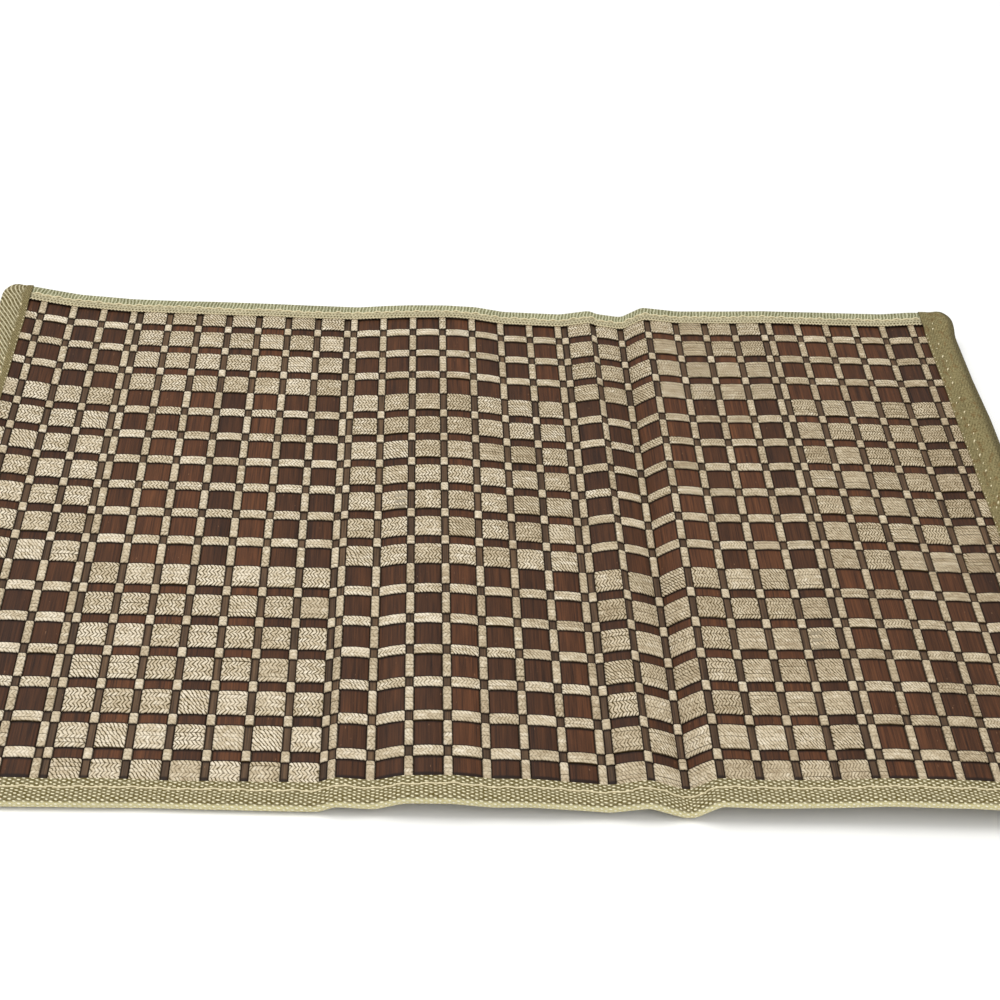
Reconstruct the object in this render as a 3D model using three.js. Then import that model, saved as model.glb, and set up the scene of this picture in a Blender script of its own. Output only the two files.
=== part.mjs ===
// Bamboo placemat: a sheet woven from bamboo slats and cotton yarn, bound on its four
// edges with folded webbing tape. It lies on a table with its left third flat, a low
// hump, a sharp crease and a raised right side.
// Millimetres, +Z up. The origin is under the middle of the mat, on the table.
// +X runs across the slats, towards the right edge, and +Y runs towards the back edge.

import * as THREE from 'three';

// Sizes of the mat laid out flat, over its bindings
const MAT_WIDTH = 448;
const MAT_DEPTH = 302;

// Thickness of the woven sheet, of the tape, and the small space left between two pieces
const SHEET_THICK = 2;
const TAPE_THICK = 0.8;
const GAP = 0.3;

// How far each tape reaches over the sheet, seen from above
const FRONT_TAPE_COVER = 10.9;
const BACK_TAPE_COVER = 10.2;
const LEFT_TAPE_COVER = 13.1;
const RIGHT_TAPE_COVER = 15.9;

// The tape's folded edge: how far in its round nose reaches, and the steps round it
const NOSE = 2.1;
const NOSE_STEPS = 8;

// The side tapes go over the ends of the long tapes, with rounded corners
const CORNER_RADIUS = 8;
const CORNER_STEPS = 6;
const LONG_TAPE_END = 11;
const STEP_DOWN_START = 12.8;
const STEP_DOWN_END = STEP_DOWN_START + 4;

// The right tape is sewn on a little unevenly near the back: how far its edge is drawn in
const RIGHT_EDGE = [
  { along: 220, drawnIn: 0 },
  { along: 248, drawnIn: 1.2 },
  { along: 282, drawnIn: 1.6 },
  { along: 292, drawnIn: 0.5 },
];
const RIGHT_EDGE_MOST = Math.max(...RIGHT_EDGE.map((point) => point.drawnIn));

// The sheet's own corners are snipped off inside the tapes
const SNIP_ACROSS = 5;
const SNIP_ALONG = 7;

// The cloth is twisted a little, so its length is made in this many even strips
const STRIPS = 6;

// The slats run from front to back. A block has narrow slats between and beside its wide
// ones, and the first and the last slat go on under the side tapes.
const WIDE_SLAT = 10.54;
const NARROW_SLAT = 3.08;
const WIDE_SLATS_IN_BLOCKS = [3, 7, 7, 7, 5];
const FIRST_SLAT_SHOWING = 4.9;

// The slats' rounded edges leave a shallow groove between two of them, on both faces
const GROOVE_WIDTH = 1;
const GROOVE_DEPTH = 0.45;

// The lines on the cloth where it can bend, measured across it from its left edge. Line 0
// is that edge, line 1 is where the left tape ends, and then there is one beside each
// slat. The last two are where the right tape ends and the right edge.
function bendLines() {
  const block = (wide) => [NARROW_SLAT, ...Array(wide).fill([WIDE_SLAT, NARROW_SLAT]).flat()];
  const slats = WIDE_SLATS_IN_BLOCKS.flatMap(block);
  const lines = [0, LEFT_TAPE_COVER];
  for (const width of [FIRST_SLAT_SHOWING, ...slats]) lines.push(lines.at(-1) + width);
  return [...lines, MAT_WIDTH - RIGHT_TAPE_COVER, MAT_WIDTH];
}

const LINES = bendLines();
const JOINTS = LINES.slice(2, -2);

// The lines where the mat is bent, from left to right. `back` and `front` are how far the
// cloth is raised there, at the mat's back edge and at its front edge.
const FOLDS = [
  { line: 0, back: 4.9, front: 3.4 },
  { line: 1, back: 5.1, front: 2.8 },
  { line: 3, back: 3.7, front: 1.0 },
  { line: 5, back: 1.5, front: 0.0 },
  { line: 8, back: 0.0, front: 0.0 },
  { line: 23, back: 0.0, front: 0.0 },
  { line: 25, back: 0.0, front: 2.8 },
  { line: 27, back: 1.4, front: 1.7 },
  { line: 28, back: 2.2, front: 4.9 },
  { line: 31, back: 2.9, front: 5.4 },
  { line: 33, back: 2.5, front: 3.8 },
  { line: 35, back: 0.3, front: 4.1 },
  { line: 39, back: 0.0, front: 1.8 },
  { line: 41, back: 2.7, front: 4.6 },
  { line: 42, back: 1.2, front: 3.7 },
  { line: 43, back: 0.0, front: 0.0 },
  { line: 44, back: 0.0, front: 0.0 },
  { line: 45, back: 5.7, front: 6.2 },
  { line: 48, back: 4.3, front: 5.8 },
  { line: 51, back: 5.2, front: 6.5 },
  { line: 54, back: 6.2, front: 7.7 },
  { line: 59, back: 6.5, front: 7.6 },
  { line: 63, back: 6.9, front: 6.3 },
  { line: 65, back: 8.4, front: 6.6 },
  { line: 67, back: 8.6, front: 6.8 },
];
const FOLDS_ACROSS = FOLDS.map((fold) => LINES[fold.line]);

// Distances from the middle of the cloth to each layer, above it or below it
const SHEET_FACE = SHEET_THICK / 2;
const LONG_TAPE_INSIDE = SHEET_FACE + GAP;
const LONG_TAPE_OUTSIDE = LONG_TAPE_INSIDE + TAPE_THICK;
const CORNER_TAPE_INSIDE = LONG_TAPE_OUTSIDE + GAP;

const COLOURS = { sheet: 0x7a5a45, longTape: 0xb3ab7c, sideTape: 0x8f8458 };

// The line of the folded cloth along one edge of the mat. At each fold it has a place, and
// the direction in which the layers above and below lie, mitred so that each layer keeps
// its distance on both sides of the fold.
function foldedLine(edge) {
  const places = [new THREE.Vector2(0, FOLDS[0][edge])];
  const normals = [];
  for (let i = 1; i < FOLDS.length; i += 1) {
    const length = FOLDS_ACROSS[i] - FOLDS_ACROSS[i - 1];
    const rise = FOLDS[i][edge] - FOLDS[i - 1][edge];
    const run = Math.sqrt(length * length - rise * rise);
    places.push(new THREE.Vector2(places[i - 1].x + run, FOLDS[i][edge]));
    normals.push(new THREE.Vector2(-rise, run).divideScalar(length));
  }
  const middle = places.at(-1).x / 2;
  return places.map((place, i) => {
    const before = normals[Math.max(i - 1, 0)];
    const after = normals[Math.min(i, normals.length - 1)];
    const mitre = before.clone().add(after).divideScalar(1 + before.dot(after));
    return { x: place.x - middle, z: LONG_TAPE_OUTSIDE + place.y, mitre };
  });
}

const BACK_LINE = foldedLine('back');
const FRONT_LINE = foldedLine('front');

function placeAtFold(i, along, offset) {
  const share = along / MAT_DEPTH;
  const front = FRONT_LINE[i];
  const back = BACK_LINE[i];
  const at = (line) => [line.x + line.mitre.x * offset, line.z + line.mitre.y * offset];
  const [frontX, frontZ] = at(front);
  const [backX, backZ] = at(back);
  const x = THREE.MathUtils.lerp(frontX, backX, share);
  const z = THREE.MathUtils.lerp(frontZ, backZ, share);
  return new THREE.Vector3(x, along - MAT_DEPTH / 2, z);
}

// A point of the folded mat: `across` on the cloth from the left edge, `along` from the
// front edge, and `offset` above the middle of the cloth.
function place(across, along, offset) {
  let i = 0;
  while (i < FOLDS.length - 2 && FOLDS_ACROSS[i + 1] <= across) i += 1;
  const share = (across - FOLDS_ACROSS[i]) / (FOLDS_ACROSS[i + 1] - FOLDS_ACROSS[i]);
  return placeAtFold(i, along, offset).lerp(placeAtFold(i + 1, along, offset), share);
}

function evenSteps(start, end) {
  const share = (i) => THREE.MathUtils.lerp(start, end, i / STRIPS);
  return Array.from({ length: STRIPS + 1 }, (_, i) => share(i));
}

function foldsBetween(start, end) {
  return [start, ...FOLDS_ACROSS.filter((across) => across > start && across < end), end];
}

// A closed solid from a row of sections. Each section is a ring of points: first those of
// its outer or upper side, then the same number of its inner or lower side, backwards.
function loft(sections) {
  const count = sections[0].length;
  const positions = sections.flat().flatMap((point) => point.toArray());
  const index = [];
  const quad = (a, b, c, d) => index.push(a, b, c, a, c, d);
  for (let i = 0; i + 1 < sections.length; i += 1) {
    for (let k = 0; k < count; k += 1) {
      const next = (k + 1) % count;
      quad(i * count + k, (i + 1) * count + k, (i + 1) * count + next, i * count + next);
    }
  }
  const last = (sections.length - 1) * count;
  for (let k = 0; k + 1 < count / 2; k += 1) {
    const facing = count - 1 - k;
    quad(k, k + 1, facing - 1, facing);
    quad(last + k, last + facing, last + facing - 1, last + k + 1);
  }
  const geometry = new THREE.BufferGeometry();
  geometry.setAttribute('position', new THREE.Float32BufferAttribute(positions, 3));
  geometry.setIndex(signedVolume(positions, index) < 0 ? index.reverse() : index);
  geometry.computeVertexNormals();
  return geometry;
}

function signedVolume(positions, index) {
  const corner = (n) => new THREE.Vector3().fromArray(positions, index[n] * 3);
  let volume = 0;
  for (let n = 0; n < index.length; n += 3) {
    volume += corner(n).dot(corner(n + 1).cross(corner(n + 2))) / 6;
  }
  return volume;
}

// The section of a tape folded over an edge, as pairs of a distance in from that edge and
// a height. `edge` is where the fold lies, `reach` is where the tape ends, `inside` is the
// height of its inner face over the middle of the cloth.
function tapeSection(edge, reach, inside) {
  const side = (depth, height) => {
    const points = [[reach, height]];
    for (let i = 0; i <= NOSE_STEPS; i += 1) {
      const turn = Math.PI * (i / NOSE_STEPS);
      points.push([edge + NOSE - depth * Math.sin(turn), height * Math.cos(turn)]);
    }
    points.push([reach, -height]);
    return points;
  };
  const outer = side(NOSE, inside + TAPE_THICK);
  const inner = side(NOSE - TAPE_THICK, inside);
  return [...outer, ...inner.reverse()];
}

// One face of the sheet from its left edge to its right one, as pairs of a place across
// and a height, with the grooves between the slats
function sheetProfile(start) {
  const grooves = JOINTS.flatMap((joint) => [
    [joint - GROOVE_WIDTH / 2, SHEET_FACE],
    [joint, SHEET_FACE - GROOVE_DEPTH],
    [joint + GROOVE_WIDTH / 2, SHEET_FACE],
  ]);
  const edge = (across) => [across, SHEET_FACE];
  const left = [start, LEFT_TAPE_COVER].map(edge);
  const right = [MAT_WIDTH - RIGHT_TAPE_COVER, MAT_WIDTH - start - RIGHT_EDGE_MOST].map(edge);
  return [...left, ...grooves, ...right];
}

// The woven sheet of slats and yarn, up to its cut edges inside the tapes
function wovenSheet() {
  const rows = [
    { along: NOSE, start: SNIP_ACROSS },
    ...evenSteps(SNIP_ALONG, MAT_DEPTH - SNIP_ALONG).map((along) => ({ along, start: NOSE })),
    { along: MAT_DEPTH - NOSE, start: SNIP_ACROSS },
  ];
  return loft(rows.map(({ along, start }) => {
    const profile = sheetProfile(start);
    const upper = profile.map(([across, height]) => place(across, along, height));
    const lower = profile.map(([across, height]) => place(across, along, -height));
    return [...upper, ...lower.reverse()];
  }));
}

// A tape along the front or the back edge. Its ends lie under the side tapes.
function longTape(atBack) {
  const cover = atBack ? BACK_TAPE_COVER : FRONT_TAPE_COVER;
  const section = tapeSection(0, cover, LONG_TAPE_INSIDE);
  const stations = foldsBetween(LONG_TAPE_END, MAT_WIDTH - LONG_TAPE_END);
  return loft(stations.map((across) => section.map(([inward, height]) => {
    const along = atBack ? MAT_DEPTH - inward : inward;
    return place(across, along, height);
  })));
}

// The sections of one end of a side tape: round its corner, and over the end of the long
// tape as far as the step down on to the sheet
function cornerStations() {
  const stations = [];
  for (let i = 0; i <= CORNER_STEPS; i += 1) {
    const turn = (Math.PI / 2) * (i / CORNER_STEPS);
    const drawnIn = CORNER_RADIUS * (1 - Math.sin(turn));
    const along = CORNER_RADIUS * (1 - Math.cos(turn));
    stations.push({ along, drawnIn, inside: CORNER_TAPE_INSIDE });
  }
  stations.push({ along: STEP_DOWN_START, drawnIn: 0, inside: CORNER_TAPE_INSIDE });
  return stations;
}

// How far the right edge is drawn in at a place along it
function rightEdgeIn(along) {
  const after = RIGHT_EDGE.findIndex((point) => point.along > along);
  if (after === 0) return 0;
  if (after < 0) return RIGHT_EDGE.at(-1).drawnIn;
  const [from, to] = [RIGHT_EDGE[after - 1], RIGHT_EDGE[after]];
  return THREE.MathUtils.mapLinear(along, from.along, to.along, from.drawnIn, to.drawnIn);
}

// A tape along the left or the right edge
function sideTape(atRight) {
  const front = cornerStations();
  const back = cornerStations().reverse().map((s) => ({ ...s, along: MAT_DEPTH - s.along }));
  const steps = evenSteps(STEP_DOWN_END, MAT_DEPTH - STEP_DOWN_END);
  const edgePlaces = RIGHT_EDGE.map((point) => point.along).filter((along) => along < steps.at(-1));
  const middle = (atRight ? [...steps, ...edgePlaces].sort((a, b) => a - b) : steps)
    .map((along) => ({ along, drawnIn: 0, inside: LONG_TAPE_INSIDE }));
  const cover = atRight ? RIGHT_TAPE_COVER : LEFT_TAPE_COVER;
  return loft([...front, ...middle, ...back].map(({ along, drawnIn, inside }) => {
    const section = tapeSection(drawnIn + (atRight ? rightEdgeIn(along) : 0), cover, inside);
    return section.map(([inward, height]) => {
      const across = atRight ? MAT_WIDTH - inward : inward;
      return place(across, along, height);
    });
  }));
}

function piece(name, geometry, colour, roughness) {
  const material = new THREE.MeshStandardMaterial({ color: colour, roughness, metalness: 0 });
  const mesh = new THREE.Mesh(geometry, material);
  mesh.name = name;
  return mesh;
}

const placemat = new THREE.Group();
placemat.name = 'placemat';
placemat.add(
  piece('woven_sheet', wovenSheet(), COLOURS.sheet, 0.45),
  piece('binding_front', longTape(false), COLOURS.longTape, 0.85),
  piece('binding_back', longTape(true), COLOURS.longTape, 0.85),
  piece('binding_left', sideTape(false), COLOURS.sideTape, 0.85),
  piece('binding_right', sideTape(true), COLOURS.sideTape, 0.85),
);

export default placemat;
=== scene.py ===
import math

import bpy
import numpy as np
from mathutils import Matrix


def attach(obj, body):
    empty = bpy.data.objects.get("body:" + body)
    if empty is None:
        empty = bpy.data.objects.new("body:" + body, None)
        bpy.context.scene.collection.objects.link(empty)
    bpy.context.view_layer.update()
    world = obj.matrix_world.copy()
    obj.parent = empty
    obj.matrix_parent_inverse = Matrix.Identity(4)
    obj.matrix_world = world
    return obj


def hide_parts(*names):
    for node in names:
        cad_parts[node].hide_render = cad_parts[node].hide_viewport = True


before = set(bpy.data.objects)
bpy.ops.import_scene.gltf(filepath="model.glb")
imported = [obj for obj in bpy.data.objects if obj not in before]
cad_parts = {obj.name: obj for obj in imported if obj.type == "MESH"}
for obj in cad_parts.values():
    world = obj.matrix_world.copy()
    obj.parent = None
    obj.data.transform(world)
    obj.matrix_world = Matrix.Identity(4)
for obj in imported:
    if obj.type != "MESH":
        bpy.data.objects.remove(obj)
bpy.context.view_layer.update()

# The mat laid out flat, in millimetres. The sizes and folds are those of the CAD source,
# apart from the covers of the front and back tapes, which are 10.9 and 10.2 there.
MAT_WIDTH = 448
MAT_DEPTH = 302
SHEET_THICK = 2
TAPE_THICK = 0.8
GAP = 0.3
FRONT_TAPE_COVER = 11
BACK_TAPE_COVER = 9.9
LEFT_TAPE_COVER = 13.1
RIGHT_TAPE_COVER = 15.9
NOSE = 2.1
CORNER_RADIUS = 8
LONG_TAPE_END = 11
STEP_DOWN_START = 12.8
STEP_DOWN_END = STEP_DOWN_START + 4
RIGHT_EDGE_ALONG = [220, 248, 282, 292]
RIGHT_EDGE_DRAWN_IN = [0, 1.2, 1.6, 0.5]
SNIP_ALONG = 7
WIDE_SLAT = 10.54
NARROW_SLAT = 3.08
WIDE_SLATS_IN_BLOCKS = [3, 7, 7, 7, 5]
FIRST_SLAT_SHOWING = 4.9

# The folds: line number, height at the back edge, height at the front edge
FOLDS = [
    (0, 4.9, 3.4), (1, 5.1, 2.8), (3, 3.7, 1.0), (5, 1.5, 0.0), (8, 0.0, 0.0),
    (23, 0.0, 0.0), (25, 0.0, 2.8), (27, 1.4, 1.7), (28, 2.2, 4.9), (31, 2.9, 5.4),
    (33, 2.5, 3.8), (35, 0.3, 4.1), (39, 0.0, 1.8), (41, 2.7, 4.6), (42, 1.2, 3.7),
    (43, 0.0, 0.0), (44, 0.0, 0.0), (45, 5.7, 6.2), (48, 4.3, 5.8), (51, 5.2, 6.5),
    (54, 6.2, 7.7), (59, 6.5, 7.6), (63, 6.9, 6.3), (65, 8.4, 6.6), (67, 8.6, 6.8),
]
SHEET_FACE = SHEET_THICK / 2
LONG_TAPE_INSIDE = SHEET_FACE + GAP
LONG_TAPE_OUTSIDE = LONG_TAPE_INSIDE + TAPE_THICK
CORNER_TAPE_INSIDE = LONG_TAPE_OUTSIDE + GAP

# The yarn bands from the back edge: wide and narrow ones, in blocks of seven wide ones
WIDE_BAND = 11.68
NARROW_BAND = 5.03
FIRST_BAND_END = 282.74
WIDE_BAND_CORDS = 6
NARROW_BAND_CORDS = 3

# The tapes' weave repeats every PITCH along them and every two ROWs across them
PITCH = 3.1
ROW = 0.8

# Their inner edges are pressed down by the stitches, and rise again over RISE_LENGTH
PRESSED = 0.5
RISE_START = 0.9
RISE_LENGTH = 3.0
DENT = 0.16
DENT_WIDTH = 0.6
FRONT_STITCH_IN = 3.9
BACK_STITCH_IN = 4.2
LEFT_STITCH_IN = 3.1
RIGHT_STITCH_IN = 4.6
STITCH = 4.6
SIDE_STITCH_STEP = 10.3
STITCH_RADIUS = 0.36
SOFT_REACH = 1.5
LOOP = 1.55
LOOP_REACH = 0.45
LOOP_RADIUS = 0.26

# How finely the tapes are divided, and where along a flat part its rings lie
LONG_TAPE_STATIONS = 321
SIDE_TAPE_STATIONS = 200
CORNER_STATIONS = 14
NOSE_POINTS = 15
FLAT_PART_SHARES = np.array([0.0, 0.02, 0.12, 0.22, 0.3, 0.36, 0.42, 0.5, 0.6, 0.7, 0.8, 0.9])

# Slats. Points of their edges: distance in from the side, depth under the face, and how
# much they count as the side, which gets a dark outline, partly stain and partly painted
# shade. Slats wider than WIDE_FROM are wide ones.
SLAT_THICK = 0.9
SLAT_GAP = 0.4
SLAT_ARCH = 0.35
SLAT_EDGE = [(0.0, 0.3, 1.0), (0.12, 0.08, 0.8), (0.6, 0.0, 0.0)]
SLAT_BEND = 0.04
SLAT_SWELL = 0.006
WIDE_FROM = 5

# Cords. Their steps are the distances from a slat's two edges at which a cord has points
CORD_SIDES = 6
CORD_HALF_HEIGHT = 0.3
CORD_OVERLAP = 0.2
CORD_RISE = SLAT_THICK / 2 + CORD_HALF_HEIGHT
CORD_RISE_LENGTH = 0.6
WIDE_SLAT_STEPS = [0.3, 0.7]
NARROW_SLAT_STEPS = [0.45]
YARN_PIECES = 4

# The yarn from left to right: length of a ply, lightness, which painted shade darkens towards
# the right, what narrow slats add to that, how dark the painted shade in the grooves between
# plies is, and the shares of cells with twill and with lines of painted shade between cords.
# Over narrow slats, few cords have a line, but most of the middle ones do.
YARN_PLACES = [0, 140, 320, MAT_WIDTH]
PLY_LENGTHS = [1.45, 1.45, 1.2, 1.2]
YARN_TONES_AND_SHADE = [0.64, 0.6, 0.38, 0.22]
NARROW_SLAT_TONES = [-0.18, -0.12, -0.03, -0.1]
YARN_CONTRASTS = [1.0, 1.0, 0.9, 0.85]
TWILL_SHARES = [0.12, 0.2, 0.5, 0.7]
LINED_SHARES = [0.12, 0.14, 0.2, 0.25]
NARROW_SLAT_LINED = 0.1
MIDDLE_CORD_LINED = 0.6
CELL_TONE_SPREAD = 0.14
NARROW_SLAT_CONTRAST = 0.42
NARROW_BAND_CONTRAST = 0.65
NARROW_BAND_TONE = 0.06

# Towards the back the painted shade in the grooves is stronger, there is less twill, and there
# are more lines of painted shade between cords
BACK_CONTRAST = 0.5
BACK_TWILL = -0.5
BACK_LINED = 0.25
FAINT_GAP_SHADE = 0.12
BACK_GAP_SHADE = 0.3

SEEDS = {
    "slats": 11, "yarn": 23,
    "tape_back": 31, "tape_front": 32, "tape_right": 33, "tape_left": 34,
    "thread_back": 41, "thread_front": 42, "thread_right": 43, "thread_left": 44,
}
MM = 0.001

# Colours, from the darkest to the lightest, with their places on a scale of 0 to 1
WIDE_SLAT_COLOURS = [
    (0.0, "#362013"), (0.35, "#442815"), (0.6, "#502f1a"), (0.8, "#56341d"), (1.0, "#603b23"),
]
NARROW_SLAT_COLOURS = [(0.0, "#453323"), (0.5, "#55412e"), (1.0, "#634d36")]
YARN_COLOURS = [(0.0, "#a8967a"), (0.5, "#cbbb9e"), (1.0, "#ece0c9")]
THREAD_COLOURS = [(0.3, "#c6b88f"), (0.7, "#eee2bf")]
FLOOR_COLOURS = [(0.0, "#f4f4f2"), (1.0, "#fafaf8")]

# Colours of small marks: a painted glint on the bamboo, the slats' dark edges, which are
# partly stain and partly painted shade, and painted shade on the yarn
# a painted glint on the bamboo
GLINT_COLOUR = "#a07858"
# the slats' dark edges, partly stain, and painted shade under the yarn and beside the tapes
SLAT_EDGE_AND_SHADE = "#1a0d05"
# painted shade in the grooves between plies
PLY_GROOVE_SHADE = "#54451f"
# deeper painted shade where a groove meets a cord's side
PLY_NOTCH_SHADE = "#2b1f0b"
# painted shade in the gaps between cords
CORD_GAP_SHADE = "#45371d"
# painted shade where a cord dives under a slat
UNDER_SLAT_SHADE = "#22150a"

# Dark and light colours of the parts of each tape
FRONT_FACE = ("#62562c", "#f4eac6")
# the fold's colours are paler, partly with painted light
FRONT_FOLD_LIT = ("#cfc492", "#fff9de")
BACK_BEADS = ("#554a28", "#c1b796")
BACK_BARS = ("#6c6a46", "#c8c6a6")
BACK_FOLD = ("#5b5d49", "#a4a487")
LEFT_INNER = ("#4d4124", "#a1946a")
# the ribs' light colour holds painted highlights
LEFT_RIBS_LIT = ("#574b26", "#e3d9b4")
RIGHT_FACE = ("#5c5334", "#988c64")
RIGHT_BROWN = ("#584526", "#8b7850")
# painted shade round the fold
RIGHT_FOLD_SHADED = ("#463f2a", "#706748")


def bend_lines():
    slats = []
    for wide in WIDE_SLATS_IN_BLOCKS:
        slats += [NARROW_SLAT] + [WIDE_SLAT, NARROW_SLAT] * wide
    lines = np.cumsum([0, LEFT_TAPE_COVER, FIRST_SLAT_SHOWING, *slats])
    return np.append(lines, [MAT_WIDTH - RIGHT_TAPE_COVER, MAT_WIDTH])


LINES = bend_lines()
FOLDS_ACROSS = np.array([LINES[line] for line, _, _ in FOLDS])


def folded_line(raised):
    """Place and mitred direction of the folded cloth at each fold, along one edge."""
    raised = np.array(raised)
    length = np.diff(FOLDS_ACROSS)
    rise = np.diff(raised)
    run = np.sqrt(length**2 - rise**2)
    x = np.concatenate(([0.0], np.cumsum(run)))
    normals = np.stack([-rise, run], axis=1) / length[:, None]
    before = np.vstack([normals[:1], normals])
    after = np.vstack([normals, normals[-1:]])
    mitre = (before + after) / (1 + (before * after).sum(axis=1))[:, None]
    return np.stack([x - x[-1] / 2, LONG_TAPE_OUTSIDE + raised], axis=1), mitre


BACK_LINE = folded_line([back for _, back, _ in FOLDS])
FRONT_LINE = folded_line([front for _, _, front in FOLDS])


def place(flat):
    """Points of the folded mat in metres, from rows of across, along and offset in mm."""
    across, along, offset = flat[..., 0], flat[..., 1], flat[..., 2]
    i = np.clip(np.searchsorted(FOLDS_ACROSS, across, side="right") - 1, 0, len(FOLDS) - 2)
    share = (across - FOLDS_ACROSS[i]) / (FOLDS_ACROSS[i + 1] - FOLDS_ACROSS[i])
    depth = along / MAT_DEPTH

    def at(n):
        front = FRONT_LINE[0][n] + FRONT_LINE[1][n] * offset[..., None]
        back = BACK_LINE[0][n] + BACK_LINE[1][n] * offset[..., None]
        return front + (back - front) * depth[..., None]

    xz = at(i) + (at(i + 1) - at(i)) * share[..., None]
    return np.stack([xz[..., 0], along - MAT_DEPTH / 2, xz[..., 1]], axis=-1) * MM


def place_softly(flat):
    """The same, with the folds rounded, for cloth that bends in a curve."""
    shift = np.array([SOFT_REACH, 0.0, 0.0])
    return (place(flat - shift) + 2 * place(flat) + place(flat + shift)) / 4


# Meshes from arrays

class Lofts:
    """Closed lofts of quads, joined into one mesh with UVs and numbers per loft."""

    def __init__(self):
        self.points = []
        self.quads = []
        self.uvs = []
        self.numbers = {}
        self.count = 0

    def add(self, sections, u, v, **numbers):
        """sections has the shape (n, ring, 3). u has n values and v ring + 1 values."""
        n, ring = sections.shape[:2]
        i, k = np.meshgrid(np.arange(n - 1), np.arange(ring), indexing="ij")
        i, k = i.ravel(), k.ravel()
        nxt = (k + 1) % ring
        here, there = i * ring, (i + 1) * ring
        quads = np.stack([here + k, there + k, there + nxt, here + nxt], axis=1)
        uvs = np.stack([
            np.stack([u[i], v[k]], axis=1), np.stack([u[i + 1], v[k]], axis=1),
            np.stack([u[i + 1], v[k + 1]], axis=1), np.stack([u[i], v[k + 1]], axis=1),
        ], axis=1)
        half = np.arange(ring // 2 - 1)
        facing = ring - 1 - half
        last = (n - 1) * ring
        start = np.stack([half, half + 1, facing - 1, facing], axis=1)
        end = last + start[:, ::-1]
        self.points.append(sections.reshape(-1, 3))
        self.quads.append(np.vstack([quads, start, end]) + self.count)
        cap_uv = np.stack([np.full((len(half), 4), u[0]), v[start]], axis=-1)
        cap_uv_end = np.stack([np.full((len(half), 4), u[-1]), v[start[:, ::-1]]], axis=-1)
        self.uvs.append(np.concatenate([uvs, cap_uv, cap_uv_end]))
        for name, value in numbers.items():
            values = np.broadcast_to(np.asarray(value, float), (n * ring,))
            self.numbers.setdefault(name, []).append(values)
        self.count += n * ring

    def build(self, name, material):
        points = np.concatenate(self.points)
        quads = np.concatenate(self.quads)
        uvs = np.concatenate(self.uvs)
        if signed_volume(points, quads) < 0:
            quads, uvs = quads[:, ::-1], uvs[:, ::-1]
        mesh = bpy.data.meshes.new(name)
        mesh.vertices.add(len(points))
        mesh.vertices.foreach_set("co", points.astype(np.float32).ravel())
        mesh.loops.add(quads.size)
        mesh.loops.foreach_set("vertex_index", quads.astype(np.int32).ravel())
        mesh.polygons.add(len(quads))
        mesh.polygons.foreach_set("loop_start", np.arange(0, quads.size, 4, dtype=np.int32))
        mesh.update(calc_edges=True)
        mesh.validate()
        layer = mesh.uv_layers.new(name="UVMap")
        layer.data.foreach_set("uv", np.ascontiguousarray(uvs, np.float32).ravel())
        for key, values in self.numbers.items():
            attribute = mesh.attributes.new(key, "FLOAT", "POINT")
            attribute.data.foreach_set("value", np.concatenate(values).astype(np.float32))
        mesh.polygons.foreach_set("use_smooth", np.ones(len(quads), bool))
        mesh.materials.append(material)
        piece = bpy.data.objects.new(name, mesh)
        bpy.context.scene.collection.objects.link(piece)
        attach(piece, "root")
        return piece


def signed_volume(points, quads):
    a, b, c, d = (points[quads[:, n]] for n in range(4))
    return (a * (np.cross(b, c) + np.cross(c, d))).sum()


# Materials

def linear(text):
    """A linear colour from its usual hexadecimal form."""
    parts = [int(text[i:i + 2], 16) / 255 for i in (1, 3, 5)]
    return [p / 12.92 if p <= 0.04045 else ((p + 0.055) / 1.055) ** 2.4 for p in parts] + [1.0]


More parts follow.
